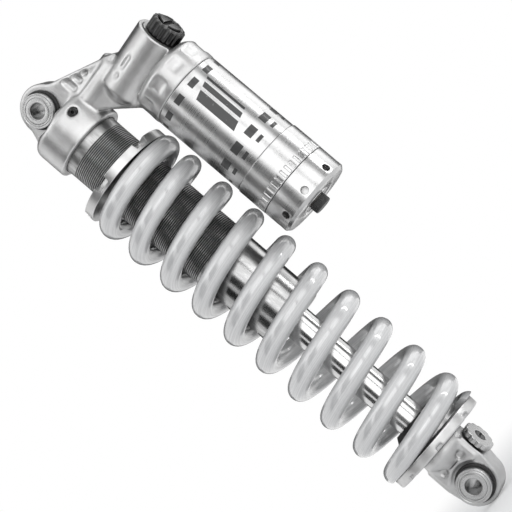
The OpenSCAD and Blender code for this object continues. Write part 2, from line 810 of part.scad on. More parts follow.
// Compression valve body in the tower: a ported head, a stem and a cap
module compression_cartridge() {
    ports = 6;
    color("darkgray") difference() {
        union() {
            x_rod(valve_head, shims_start, tower_depth, cartridge_r);
            x_rod(valve_head, cartridge_cap + eps, tower_depth, stem_r);
            x_rod(cartridge_cap, tower_end, tower_depth, cartridge_r);
        }
        x_rod(bore_start, tower_end + cut, tower_depth, needle_r + run_fit);
        for (i = [0 : ports - 1]) translate([0, 0, -tower_depth]) rotate([360 * i / ports, 0, 0])
            translate([bore_start, 0, stem_r + 1.6]) rotate([0, 90, 0])
                cylinder(h = shims_start - bore_start + cut, r = 1);
        x_tube(tower_end - 5, tower_end - 3, tower_depth, cartridge_r + cut, cartridge_r - 1.6);
    }
}

module cartridge_oring() {
    color("black") x_tube(tower_end - 4.9, tower_end - 3.1, tower_depth, cartridge_r, cartridge_r - 1.6);
}

module high_speed_shims() {
    color("silver") x_tube(shims_start, shims_start + shim_t, tower_depth, stem_r + 2.6, stem_r + seat_fit);
}

// Sleeve that the high-speed dial presses towards its shims
module high_speed_sleeve() {
    color("lightgray") x_tube(shims_start + shim_t + high_speed_stroke + face_gap, cartridge_cap - face_gap,
        tower_depth, stem_r + 2.4, stem_r + run_fit);
}

// Needle that the low-speed knob moves
module low_speed_needle() {
    color("silver")
        x_rod(bore_start + low_speed_stroke + face_gap, knob_start - face_gap, tower_depth, needle_r);
}

// Toothed dial round the tower's end
module high_speed_dial() {
    teeth = 18;
    color("dimgray") difference() {
        x_tube(dial_start, dial_start + high_dial_t, tower_depth, high_dial_r, low_knob_r + face_gap);
        for (i = [0 : teeth - 1])
            translate([dial_start - cut, 0, -tower_depth]) rotate([360 * i / teeth, 0, 0])
                translate([0, 0, high_dial_r + 0.35]) rotate([0, 90, 0])
                    cylinder(h = high_dial_t + 2 * cut, r = 1.1);
        x_rod(dial_start - cut, knob_start, tower_depth, low_knob_r + face_gap);
    }
}

// Slotted knob inside the dial
module low_speed_knob() {
    slot_w = 2.6;
    color("black") difference() {
        x_rod(knob_start, knob_end, tower_depth, low_knob_r);
        translate([knob_end - 1.6, -low_knob_r, -tower_depth - slot_w / 2])
            cube([high_dial_t, 2 * low_knob_r, slot_w]);
    }
}

head_casting();
upper_bush();
upper_dust_seals();
upper_pin();
upper_spacers();
damper_body();
body_oring();
seal_head();
seal_head_oring();
shaft_bush();
shaft_seal();
wiper_seal();
top_out_bumper();
preload_collar();
collar_oring();
coil_spring();
lower_spring_seat();
bump_stop();
shaft();
main_piston();
piston_band();
compression_shims();
rebound_shims();
piston_nut();
rebound_rod();
rebound_knob();
rebound_knob_screw();
shaft_eyelet();
lower_bush();
lower_dust_seals();
lower_pin();
lower_spacers();
reservoir_tube();
reservoir_oring();
floating_piston();
floating_piston_oring();
end_sleeve();
bottom_out_piston();
bottom_out_oring();
bottom_out_dial();
air_valve();
valve_pin();
valve_cap();
compression_cartridge();
cartridge_oring();
high_speed_shims();
high_speed_sleeve();
low_speed_needle();
high_speed_dial();
low_speed_knob();
bleed_screw();
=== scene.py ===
import json
import math
import bpy
import bmesh
import numpy as np
from mathutils import Matrix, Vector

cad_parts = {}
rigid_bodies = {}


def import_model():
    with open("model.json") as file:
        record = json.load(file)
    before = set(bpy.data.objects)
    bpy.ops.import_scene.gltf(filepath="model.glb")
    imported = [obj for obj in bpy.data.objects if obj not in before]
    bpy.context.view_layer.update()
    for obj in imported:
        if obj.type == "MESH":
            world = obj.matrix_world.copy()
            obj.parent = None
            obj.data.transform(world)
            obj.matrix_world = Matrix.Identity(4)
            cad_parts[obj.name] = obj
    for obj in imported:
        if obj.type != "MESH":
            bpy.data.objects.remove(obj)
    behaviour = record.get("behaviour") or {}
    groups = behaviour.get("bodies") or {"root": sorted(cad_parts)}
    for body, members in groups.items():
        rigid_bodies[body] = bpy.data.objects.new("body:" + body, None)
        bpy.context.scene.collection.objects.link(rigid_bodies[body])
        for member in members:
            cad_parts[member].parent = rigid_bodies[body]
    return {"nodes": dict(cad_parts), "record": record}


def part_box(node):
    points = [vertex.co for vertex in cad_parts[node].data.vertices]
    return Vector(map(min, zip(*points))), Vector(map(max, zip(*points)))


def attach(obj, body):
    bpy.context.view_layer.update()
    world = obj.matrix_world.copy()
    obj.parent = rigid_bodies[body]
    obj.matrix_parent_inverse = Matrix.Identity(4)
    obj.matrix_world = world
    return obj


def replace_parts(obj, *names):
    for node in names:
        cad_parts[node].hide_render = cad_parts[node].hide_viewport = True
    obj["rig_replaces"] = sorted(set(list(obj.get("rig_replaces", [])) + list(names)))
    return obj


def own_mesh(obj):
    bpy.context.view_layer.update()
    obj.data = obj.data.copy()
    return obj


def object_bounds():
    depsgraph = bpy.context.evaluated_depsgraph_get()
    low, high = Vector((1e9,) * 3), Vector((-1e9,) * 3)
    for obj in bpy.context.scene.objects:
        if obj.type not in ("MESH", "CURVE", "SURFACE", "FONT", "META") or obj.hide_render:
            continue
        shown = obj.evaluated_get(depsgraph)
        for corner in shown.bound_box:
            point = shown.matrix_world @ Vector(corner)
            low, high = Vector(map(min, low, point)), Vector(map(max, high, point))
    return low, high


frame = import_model()
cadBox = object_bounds()
nodes = frame["nodes"]
record = frame["record"]
bodyOf = {n: body for body, members in record["behaviour"]["bodies"].items() for n in members}
slotOf = {row["node"]: row["material_slot"] for row in record["subparts"]}
mm = 0.001
print("frame: %d nodes on %d bodies" % (len(nodes), len(set(bodyOf.values()))))


class Wire:
    # a shader socket; sums of wires and numbers add their own Math nodes
    def __init__(self, paint, socket):
        self.paint, self.socket = paint, socket

    def math(self, operation, *others):
        return self.paint.node("ShaderNodeMath", {"operation": operation}, dict(enumerate((self,) + others)))

    def __add__(self, other):
        return self.math("ADD", other)

    def __mul__(self, other):
        return self.math("MULTIPLY", other)

    def __sub__(self, other):
        return self.math("SUBTRACT", other)

    def __rsub__(self, other):
        return self.paint.node("ShaderNodeMath", {"operation": "SUBTRACT"}, {0: other, 1: self})

    def __truediv__(self, other):
        return self.math("DIVIDE", other)

    def __pow__(self, other):
        return self.math("POWER", other)

    __radd__ = __add__
    __rmul__ = __mul__


class Paint:
    # one material, its tree and its shader
    def __init__(self, name):
        self.material = bpy.data.materials.new(name)
        self.material.use_nodes = True
        self.tree = self.material.node_tree
        self.tree.nodes.clear()
        self.sheet = self.tree.nodes.new("ShaderNodeOutputMaterial")
        self.shader = self.tree.nodes.new("ShaderNodeBsdfPrincipled")
        self.tree.links.new(self.shader.outputs[0], self.sheet.inputs[0])

    def feed(self, socket, value):
        if isinstance(value, Wire):
            self.tree.links.new(value.socket, socket)
        else:
            socket.default_value = value

    def node(self, kind, settings=None, sockets=None, out=0):
        made = self.tree.nodes.new(kind)
        for key, value in (settings or {}).items():
            setattr(made, key, value)
        for key, value in (sockets or {}).items():
            self.feed(made.inputs[key], value)
        return Wire(self, made.outputs[out])

    def place(self):
        return self.node("ShaderNodeTexCoord", out="Object")

    def split(self, vector):
        made = self.node("ShaderNodeSeparateXYZ", {}, {0: vector}).socket.node
        return [Wire(self, socket) for socket in made.outputs]

    def noise(self, vector, scale, detail=3.0, rough=0.5):
        return self.node("ShaderNodeTexNoise", {}, {"Vector": vector, "Scale": scale, "Detail": detail,
                                                    "Roughness": rough})

    def stretch(self, vector, scale, location=(0, 0, 0)):
        return self.node("ShaderNodeMapping", {}, {"Vector": vector, "Scale": scale, "Location": location})

    def span(self, value, low, high, toLow=0.0, toHigh=1.0, smooth=True):
        kind = "SMOOTHSTEP" if smooth else "LINEAR"
        return self.node("ShaderNodeMapRange", {"interpolation_type": kind},
                         {0: value, 1: low, 2: high, 3: toLow, 4: toHigh})

    def blend(self, share, first, second):
        return self.node("ShaderNodeMix", {"data_type": "RGBA"}, {0: share, 6: first, 7: second}, out=2)

    def corner(self, distance, inside=False):
        return self.node("ShaderNodeAmbientOcclusion", {"samples": 6, "inside": inside},
                         {"Distance": distance}, out="AO")

    def bump(self, height, distance, strength=1.0):
        return self.node("ShaderNodeBump", {}, {"Height": height, "Distance": distance, "Strength": strength})

    def finish(self, sockets):
        for key, value in sockets.items():
            self.feed(self.shader.inputs[key], value)
        return self.material


def grey(level, warm=0.0):
    return (level + warm, level, level - warm, 1.0)


def aroundAxis(paint, axis, centre):
    # distance along the lathe's axis plus distance from it, so faces and sides both show turning lines
    moved = paint.stretch(paint.place(), (1, 1, 1), tuple(-c for c in centre))
    three = dict(zip("xyz", paint.split(moved)))
    along = three.pop(axis)
    first, second = three.values()
    return along + (first * first + second * second) ** 0.5


def window(paint, value, low, high, soft):
    return paint.span(value, low - soft, low + soft) * (1 - paint.span(value, high - soft, high + soft))


def stripeInk(paint, look):
    # plain printed marks on the tube: rings of dashes and slanted stripes,
    # placed in degrees round it and mm below the origin
    turn, depth, _ = paint.split(paint.node("ShaderNodeTexCoord", out="UV"))
    dashDepth, dashBeat = look["dashSoft"]
    stripeTurn, stripeDepth = look["stripeSoft"]
    ink = 0.0
    for top, low, pitch, share, shift in look["dashes"]:
        ahead = 2 * 360.0 + shift  # keeps the angle above zero all round
        beat = ((turn + ahead) / pitch).math("FRACT")
        ring = window(paint, depth, top, low, dashDepth)
        ink = ink + ring * window(paint, beat, 0.5 - share / 2, 0.5 + share / 2, dashBeat)
    slanted = depth + turn * look["slant"]
    for left, right, top, low in look["stripes"]:
        bar = window(paint, turn, left, right, stripeTurn)
        ink = ink + bar * window(paint, slanted, top, low, stripeDepth)
    wear = paint.noise(paint.place(), 520.0, 6.0, 0.7)
    return ink.math("MINIMUM", 1.0) * paint.span(wear, 0.26, 0.4, 0.55, 1.0)


# the corner reach and tone set how far and how dark the painted shade in corners goes
usualMetal = {"warm": 0.0, "shade": 0.82, "driftScale": 60.0, "roughDrift": 0.12, "grainDepth": 1.0,
              "cornerReach": 2.5 * mm, "cornerTone": 0.3, "centre": (0, 0, 0), "lineScale": 2600.0,
              "lineDepth": 0.6, "lineRough": 0.14, "bump": 0.00002, "coatRough": 0.08}


def metal(name, ownLook):
    # turned or blasted metal: tone drifts in large soft patches, corners are darkened as painted shade,
    # and grain and lathe lines make the bump
    look = {**usualMetal, **ownLook}
    paint = Paint(name)
    place = paint.place()
    drift = paint.noise(place, look["driftScale"], 4.0, 0.6)
    grain = paint.noise(place, look["grainScale"], 2.0, 0.6)
    tone, shade = grey(look["tone"], look["warm"]), grey(look["tone"] * look["shade"], look["warm"])
    colour = paint.blend(paint.span(drift, 0.35, 0.68), shade, tone)
    # painted shade: the occlusion node darkens the colour in corners and between parts, where shade falls
    paintedShade = paint.span(paint.corner(look["cornerReach"]), 0.25, 0.8)
    colour = paint.blend(paintedShade, grey(look["tone"] * look["cornerTone"]), colour)
    if "wear" in look:
        # edges that stand proud are rubbed to bare metal in patches
        reach, bare = look["wear"]
        edge = 1 - paint.span(paint.corner(reach * mm, True), 0.45, 0.85)
        colour = paint.blend(edge * paint.span(drift, 0.38, 0.62, 0.25, 1.0), colour, grey(bare))
    rough = look["rough"] + (drift - 0.5) * look["roughDrift"] + (grain - 0.5) * 0.1
    height = grain * look["grainDepth"]
    if "axis" in look:
        ring = aroundAxis(paint, look["axis"], look["centre"])
        lines = paint.node("ShaderNodeTexNoise", {"noise_dimensions": "1D"},
                           {"W": ring * look["lineScale"], "Scale": 1.0, "Detail": 2.0})
        height = height + lines * look["lineDepth"]
        rough = rough + (lines - 0.5) * look["lineRough"]
    normal = paint.bump(height, look["bump"])
    sockets = {"Base Color": colour, "Roughness": rough, "Normal": normal, "Metallic": 1.0}
    if "ink" in look:
        ink = stripeInk(paint, look["ink"])
        sockets["Base Color"] = paint.blend(ink, colour, grey(look["ink"]["tone"]))
        sockets["Roughness"], sockets["Metallic"] = rough + ink * 0.12, 1 - ink * 0.85
    if "coat" in look:
        sockets["Coat Weight"], sockets["Coat Roughness"] = look["coat"], look["coatRough"]
    return paint.finish(sockets)


def rubberCoat(name, look):
    # moulded rubber: near black, with a fine pebble and dusty patches
    paint = Paint(name)
    place = paint.place()
    pebble = paint.noise(place, 5200.0, 2.0, 0.7)
    dust = paint.noise(place, 240.0, 5.0, 0.65)
    colour = paint.blend(paint.span(dust, 0.45, 0.75), grey(look["tone"]), grey(look["tone"] * 2.4, 0.001))
    rough = look["rough"] + (dust - 0.5) * 0.25
    return paint.finish({"Base Color": colour, "Roughness": rough,
                         "Normal": paint.bump(pebble, 0.00003, 0.7)})


def plasticCoat(name, look):
    # moulded plastic: satin skin with a spark-eroded grain and paler scuffs
    paint = Paint(name)
    place = paint.place()
    skin = paint.noise(place, 3800.0, 3.0, 0.6)
    scuff = paint.noise(paint.stretch(place, (1, 1, 4)), 420.0, 6.0, 0.7)
    colour = paint.blend(paint.span(scuff, 0.56, 0.74), grey(look["tone"]), grey(look["tone"] * 2.0))
    rough = look["rough"] + (scuff - 0.5) * 0.3
    return paint.finish({"Base Color": colour, "Roughness": rough, "Normal": paint.bump(skin, 0.00002, 0.6)})


springLook = {"tone": 0.76, "streakTone": 0.62, "paintedShadeTone": 0.34, "rough": 0.3, "coatRough": 0.04,
              "coatIor": 1.8}


def springCoat():
    # clear-coated wire: drawing streaks run along it, the coat has a slight orange peel,
    # and painted shade darkens it where coils lie close
    paint = Paint("springCoat")
    along = paint.node("ShaderNodeTexCoord", out="UV")
    place = paint.place()
    streak = paint.noise(paint.stretch(along, (2.2, 46.0, 1.0)), 1.0, 4.0, 0.6)
    fine = paint.noise(paint.stretch(along, (9.0, 150.0, 1.0)), 1.0, 2.0, 0.5)
    peel = paint.noise(place, 900.0, 2.0, 0.4)
    marks = paint.span(streak * 0.65 + fine * 0.35, 0.4, 0.64)
    colour = paint.blend(marks, grey(springLook["streakTone"]), grey(springLook["tone"]))
    # painted shade: the occlusion node darkens the wire where coils lie close
    paintedShade = paint.span(paint.corner(5 * mm), 0.2, 0.85)
    colour = paint.blend(paintedShade, grey(springLook["tone"] * springLook["paintedShadeTone"]), colour)
    rough = springLook["rough"] + (1 - marks) * 0.16 + (peel - 0.5) * 0.08
    normal = paint.bump(peel * 0.6 + fine * 0.5, 0.00005, 0.6)
    return paint.finish({"Base Color": colour, "Roughness": rough, "Normal": normal, "Metallic": 0.2,
                         "Coat Weight": 1.0, "Coat Roughness": springLook["coatRough"],
                         "Coat IOR": springLook["coatIor"]})


# the root tone is painted shade in the thread roots; the crest tones are rubbed wear
threadLook = {"crest": (0.36, 0.58), "root": 0.1, "paintedShade": 0.06, "rough": 0.34, "rootRough": 0.3,
              "plainSmooth": 0.13}


def threadCoat():
    # hard-anodised body: crests rubbed bright by the collar, roots painted dark as shade,
    # corners darkened as painted shade, and the plain end smooth
    paint = Paint("threadCoat")
    place = paint.place()
    root = paint.node("ShaderNodeAttribute", {"attribute_name": "root"}, out="Fac")
    plain = paint.node("ShaderNodeAttribute", {"attribute_name": "plain"}, out="Fac")
    rub = paint.noise(paint.stretch(place, (1, 1, 0.25)), 300.0, 5.0, 0.65)
    grain = paint.noise(place, 6000.0, 2.0, 0.6)
    crest = paint.blend(paint.span(rub, 0.4, 0.7), *(grey(tone) for tone in threadLook["crest"]))
    # painted shade: the thread roots are coloured darker than the crests
    colour = paint.blend(paint.span(root, 0.15, 0.8), crest, grey(threadLook["root"]))
    # painted shade: the occlusion node darkens corners
    paintedShade = paint.span(paint.corner(4 * mm), 0.15, 0.8)
    colour = paint.blend(paintedShade, grey(threadLook["paintedShade"]), colour)
    rough = threadLook["rough"] + root * threadLook["rootRough"] + (rub - 0.5) * 0.16
    rough = rough - plain * threadLook["plainSmooth"]
    return paint.finish({"Base Color": colour, "Roughness": rough, "Metallic": 1.0,
                         "Normal": paint.bump(grain, 0.00001, 0.8)})


reservoirX = sum(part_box("reservoir_tube")[i].x for i in (0, 1)) / 2
towerZ = sum(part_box("high_speed_dial")[i].z for i in (0, 1)) / 2
reboundZ = sum(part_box("rebound_knob")[i].z for i in (0, 1)) / 2
lowerEyeZ = sum(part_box("lower_pin")[i].z for i in (0, 1)) / 2
atReservoir, atTower = (reservoirX, 0, 0), (0, 0, towerZ)

tubeMetal = {"tone": 0.66, "rough": 0.3, "grainScale": 5200.0, "axis": "z", "centre": atReservoir,
             "grainDepth": 0.5, "lineDepth": 0.5, "coat": 0.3, "bump": 0.00001}
smallSteel = {"tone": 0.58, "rough": 0.28, "grainScale": 4800.0, "axis": "y", "centre": (0, 0, lowerEyeZ),
              "bump": 0.000008}

finishes = {
    "forged_alloy": metal("forgedAlloy", {
        "tone": 0.66, "rough": 0.36, "grainScale": 4200.0, "grainDepth": 1.4, "bump": 0.00003,
        "cornerReach": 3.5 * mm, "wear": (1.6, 0.82)}),
    "collar_alloy": metal("collarAlloy", {
        "tone": 0.68, "rough": 0.34, "grainScale": 5000.0, "axis": "z", "bump": 0.000008,
        "wear": (0.6, 0.86)}),
    "body_alloy": threadCoat(),
    "reservoir_alloy": metal("reservoirAlloy", tubeMetal),
    "inner_alloy": metal("innerAlloy", {"tone": 0.62, "rough": 0.3, "grainScale": 4600.0, "axis": "z"}),
    "spring_coat": springCoat(),
    "shaft_chrome": metal("shaftChrome", {
        "tone": 0.8, "rough": 0.2, "grainScale": 3000.0, "axis": "z", "lineDepth": 0.2, "lineRough": 0.05,
        "grainDepth": 0.1, "roughDrift": 0.05, "bump": 0.000006}),
    "steel": metal("groundSteel", smallSteel),
    "spacer_alloy": metal("spacerAlloy", {
        **smallSteel, "tone": 0.62, "grainScale": 5200.0, "lineScale": 3400.0}),
    "bronze": metal("sinteredBronze", {"tone": 0.5, "warm": 0.13, "rough": 0.42, "grainScale": 3600.0}),
    "rubber": rubberCoat("sealRubber", {"tone": 0.016, "rough": 0.55}),
    "band_plastic": plasticCoat("bandPlastic", {"tone": 0.1, "rough": 0.4}),
    "dial_dark": metal("dialBlack", {
        "tone": 0.07, "rough": 0.32, "grainScale": 5600.0, "driftScale": 160.0, "axis": "x",
        "centre": atTower, "cornerTone": 0.25, "coat": 0.3, "wear": (0.5, 0.32)}),
    "knob_alloy": metal("knobAlloy", {
        "tone": 0.6, "rough": 0.25, "grainScale": 5200.0, "axis": "x", "centre": (0, 0, reboundZ),
        "wear": (0.5, 0.8)}),
    "cap_plastic": plasticCoat("capPlastic", {"tone": 0.03, "rough": 0.36}),
}
print("finishes: %d" % len(finishes))


meshLook = {"weld": 2e-7, "cadWeld": 2e-6, "flatWithin": 0.6, "sharpFrom": 35.0}


def shadeSmooth(mesh, sharpFrom=None):
    mesh.polygons.foreach_set("use_smooth", np.ones(len(mesh.polygons), bool))
    if sharpFrom:
        mesh.set_sharp_from_angle(angle=math.radians(sharpFrom))
    mesh.update()
    return mesh


def closeMesh(mesh):
    # weld the seam and the poles, turn faces outwards, shade smooth except at sharp edges
    work = bmesh.new()
    work.from_mesh(mesh)
    bmesh.ops.remove_doubles(work, verts=work.verts, dist=meshLook["weld"])
    bmesh.ops.recalc_face_normals(work, faces=work.faces)
    work.to_mesh(mesh)
    work.free()
    return shadeSmooth(mesh, meshLook["sharpFrom"])


def gridMesh(name, sheets, uv=None, extra=None):
    # each sheet is rows x columns x 3 in metres; a quad joins four neighbours, and rims that meet are welded
    points, quads, start = [], [], 0
    for sheet in sheets:
        rows, columns = sheet.shape[:2]
        index = np.arange(rows * columns).reshape(rows, columns) + start
        corners = [index[:-1, :-1], index[:-1, 1:], index[1:, 1:], index[1:, :-1]]
        quads.append(np.stack(corners, -1).reshape(-1, 4))
        points.append(sheet.reshape(-1, 3))
        start += rows * columns
    points, quads = np.concatenate(points), np.concatenate(quads)
    mesh = bpy.data.meshes.new(name)
    mesh.from_pydata(points.tolist(), [], quads.tolist())
    if uv is not None:
        layer = mesh.uv_layers.new(name="UVMap")
        layer.data.foreach_set("uv", uv.reshape(-1, 2)[quads.reshape(-1)].astype(np.float32).reshape(-1))
    for key, values in (extra or {}).items():
        attribute = mesh.attributes.new(key, "FLOAT", "POINT")
        attribute.data.foreach_set("value", values.reshape(-1).astype(np.float32))
    return closeMesh(mesh)


def addPiece(name, mesh, node, finish=None):
    # a finished piece sits at the origin, rides with its node's body and stands for the node
    piece = bpy.data.objects.new(name, mesh)
    bpy.context.scene.collection.objects.link(piece)
    mesh.materials.clear()
    mesh.materials.append(finish or finishes[slotOf[node]])
    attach(piece, bodyOf[node])
    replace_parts(piece, node)
    return piece


def softCorners(corners, steps=4):
    # a closed outline of radius, height and rounding, all in mm: each corner becomes a short curve
    # between the points that lie its rounding away along its two edges, or nearer on a short edge
    corner, rounding = np.split(np.asarray(corners, float), [2], 1)
    before, after = np.roll(corner, 1, 0) - corner, np.roll(corner, -1, 0) - corner
    lengthBefore = np.linalg.norm(before, axis=1, keepdims=True)
    lengthAfter = np.linalg.norm(after, axis=1, keepdims=True)
    entry = corner + before / lengthBefore * np.minimum(rounding, lengthBefore * 0.45)
    leave = corner + after / lengthAfter * np.minimum(rounding, lengthAfter * 0.45)
    t = np.linspace(0, 1, steps + 1)[None, :, None]
    curve = (1 - t) ** 2 * entry[:, None] + 2 * t * (1 - t) * corner[:, None] + t ** 2 * leave[:, None]
    return curve.reshape(-1, 2)


def dense(outline, step):
    # points added along the long edges of a closed outline, no further apart than the step
    ends = np.roll(outline, -1, 0)
    counts = np.maximum(1, np.ceil(np.linalg.norm(ends - outline, axis=1) / step)).astype(int)
    share = np.concatenate([np.arange(c) / c for c in counts])[:, None]
    return np.repeat(outline, counts, 0) * (1 - share) + np.repeat(ends, counts, 0) * share


def turned(outlines, axis="z", centre=(0, 0, 0), columns=128, shape=None, angles=None):
    # closed outlines of radius and height in mm are carried round an axis; shape may move both by angle
    theta = np.linspace(0, 2 * np.pi, columns + 1) if angles is None else angles
    sheets = []
    for outline in outlines:
        rim = np.vstack([outline, outline[:1]])
        radius, turn = np.meshgrid(rim[:, 0], theta, indexing="ij")
        height = np.meshgrid(rim[:, 1], theta, indexing="ij")[0]
        if shape:
            radius, height = shape(radius, height, turn)
        across, up = radius * np.cos(turn), radius * np.sin(turn)
        order = {"z": (across, up, height), "y": (across, height, up), "x": (height, across, up)}[axis]
        sheets.append(np.stack(order, -1) * mm + np.asarray(centre))
    return sheets


def smoothStep(value, low, high):
    t = np.clip((value - low) / (high - low), 0, 1)
    return t * t * (3 - 2 * t)


def mergedCopy(node):
    # the node's triangles, welded and with flat patches joined
    work = bmesh.new()
    work.from_mesh(nodes[node].data)
    bmesh.ops.remove_doubles(work, verts=work.verts, dist=meshLook["cadWeld"])
    flat = math.radians(meshLook["flatWithin"])
    bmesh.ops.dissolve_limit(work, angle_limit=flat, verts=work.verts, edges=work.edges)
    mesh = bpy.data.meshes.new(node + "Copy")
    work.to_mesh(mesh)
    work.free()
    return mesh


def evaluated(mesh, name, modifiers):
    # the mesh after a list of modifiers, as a mesh of its own
    holder = bpy.data.objects.new(name, mesh)
    bpy.context.scene.collection.objects.link(holder)
    for kind, settings in modifiers:
        made = holder.modifiers.new(kind, kind)
        for key, value in settings.items():
            setattr(made, key, value)
    graph = bpy.context.evaluated_depsgraph_get()
    result = bpy.data.meshes.new_from_object(holder.evaluated_get(graph))
    bpy.data.objects.remove(holder)
    return result


bevelLook = {"segments": 3, "bevelFrom": 32.0, "sharpFrom": 38.0}


def brokenEdges(node, name, width):
    # a copy of the node whose sharp edges are broken by a small rounded bevel
    mesh = evaluated(mergedCopy(node), name, [("BEVEL", {
        "width": width * mm, "segments": bevelLook["segments"], "limit_method": "ANGLE",
        "angle_limit": math.radians(bevelLook["bevelFrom"]), "harden_normals": False,
        "use_clamp_overlap": True, "miter_outer": "MITER_SHARP"})])
    return addPiece(name, shadeSmooth(mesh, bevelLook["sharpFrom"]), node)


def forged(node, name, look, hold=None):
    # a copy remeshed finely, then each point moves towards the mean of its neighbours,
    # less where hold is near 1
    remesh = {"mode": "VOXEL", "voxel_size": look["voxel"] * mm}
    mesh = evaluated(mergedCopy(node), name, [("REMESH", remesh)])
    count = len(mesh.vertices)
    points = np.empty(count * 3, np.float32)
    mesh.vertices.foreach_get("co", points)
    points = points.reshape(-1, 3).astype(float)
    edges = np.empty(len(mesh.edges) * 2, np.int32)
    mesh.edges.foreach_get("vertices", edges)
    first, second = edges.reshape(-1, 2).T
    degree = np.bincount(first, minlength=count) + np.bincount(second, minlength=count)
    rate = 0.5 * (1 - (hold(points / mm) if hold else np.zeros(count)))[:, None]
    for _ in range(look["rounds"]):
        total = np.stack([np.bincount(first, row[second], count) + np.bincount(second, row[first], count)
                          for row in points.T], -1)
        points += rate * (total / degree[:, None] - points)
    mesh.vertices.foreach_set("co", points.astype(np.float32).reshape(-1))
    return addPiece(name, shadeSmooth(mesh), node)


headLook = {"voxel": 0.55, "rounds": 9, "eyeR": 9.5, "socketR": 17.5, "socketTop": -18.0, "cupR": 18.6,
            "cupTop": -41.0, "faceDepth": 0.8, "faceLow": -37.0, "eyeHold": 0.9, "socketHold": 0.95,
            "faceHold": 0.7}


def headHold(p):
    # machined places keep their shape: the eyelet's bore and cheeks, the sockets and the tower's end face
    eye = np.hypot(p[:, 0], p[:, 2])
    post = np.hypot(p[:, 0], p[:, 1])
    cup = np.hypot(p[:, 0] - reservoirX / mm, p[:, 1])
    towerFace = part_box("high_speed_dial")[0].x / mm
    inSocket = (post < headLook["socketR"]) & (p[:, 2] < headLook["socketTop"])
    inCup = (cup < headLook["cupR"]) & (p[:, 2] < headLook["cupTop"])
    onFace = (p[:, 0] > towerFace - headLook["faceDepth"]) & (p[:, 2] > headLook["faceLow"])
    inEye = eye < headLook["eyeR"]
    return np.maximum.reduce([headLook["eyeHold"] * inEye, headLook["socketHold"] * (inSocket | inCup),
                              headLook["faceHold"] * onFace])


head = forged("head_casting", "forgedHead", headLook, headHold)
print("forged head: %d faces" % len(head.data.polygons))

eyeLook = {"voxel": 0.45, "rounds": 12, "boreR": 8.6, "socketR": 8.6, "socketLow": 12.0, "boreHold": 0.9,
           "socketHold": 0.95}


def eyeHold(p):
    # the lower eyelet's bore and the shaft's socket stay as machined
    eye = np.hypot(p[:, 0], p[:, 2] - lowerEyeZ / mm)
    post = np.hypot(p[:, 0], p[:, 1])
    inSocket = (post < eyeLook["socketR"]) & (p[:, 2] > lowerEyeZ / mm + eyeLook["socketLow"])
    inBore = eye < eyeLook["boreR"]
    return np.maximum(eyeLook["boreHold"] * inBore, eyeLook["socketHold"] * inSocket)


lowerEye = forged("shaft_eyelet", "forgedEyelet", eyeLook, eyeHold)
print("forged eyelet: %d faces" % len(lowerEye.data.polygons))

seatOf = {"upper": (0, 0, 0), "lower": (0, 0, lowerEyeZ)}
hardwareLook = {"boltR": 4.0, "innerR": 6.4, "sealThick": 1.3, "sealGap": 0.05, "sealRound": 0.55,
                "spacerEdge": 0.45, "pinEdge": 0.35, "faceGroove": 0.25, "columns": 96}


def eyeletHardware(end, centre):
    # a pin with its bolt bore, and a seal and a grooved spacer on each side,
    # all turned about the eyelet's axis
    sealBox, spacerBox, pinBox = (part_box(end + tail) for tail in ("_dust_seals", "_spacers", "_pin"))
    pinR, half = pinBox[1].x / mm, pinBox[1].y / mm
    sealR, sealOut, spacerR = sealBox[1].x / mm, sealBox[1].y / mm, spacerBox[1].x / mm
    boltR, inner = hardwareLook["boltR"], hardwareLook["innerR"]
    sealIn, spacerIn = sealOut - hardwareLook["sealThick"], sealOut + hardwareLook["sealGap"]
    grooveR, grooveFloor = (inner + spacerR) / 2, half - hardwareLook["faceGroove"]
    sealRound = hardwareLook["sealRound"]
    spacerEdge, pinEdge = hardwareLook["spacerEdge"], hardwareLook["pinEdge"]
    seal = softCorners([(inner, sealIn, 0.1), (sealR, sealIn, sealRound), (sealR, sealOut, sealRound),
                        (inner, sealOut, 0.1)], 5)
    spacer = softCorners([(inner, spacerIn, 0.1), (spacerR, spacerIn, 0.25), (spacerR, half, spacerEdge),
                          (grooveR + 0.5, half, 0.1), (grooveR + 0.3, grooveFloor, 0.1),
                          (grooveR - 0.1, grooveFloor, 0.1), (grooveR - 0.3, half, 0.1), (inner, half, 0.15)])
    pin = softCorners([(boltR, -half, pinEdge), (pinR, -half, pinEdge), (pinR, half, pinEdge),
                       (boltR, half, pinEdge)])
    for kind, shapes, node in (("DustSeals", [seal, seal * (1, -1)], "_dust_seals"),
                               ("Spacers", [spacer, spacer * (1, -1)], "_spacers"), ("Pin", [pin], "_pin")):
        sheets = turned(shapes, "y", centre, hardwareLook["columns"])
        addPiece(end + kind, gridMesh(end + kind, sheets), end + node)


for end, centre in seatOf.items():
    eyeletHardware(end, centre)
print("eyelet hardware: 6 pieces")

bodyLook = {"pitch": 1.0, "depth": 0.42, "samples": 6, "bore": 14.0, "threadTop": -32.0, "threadEnd": -110.0,
            "plainStep": 0.35, "edge": 0.6, "runIn": 1.5, "runOut": 0.8, "columns": 128}


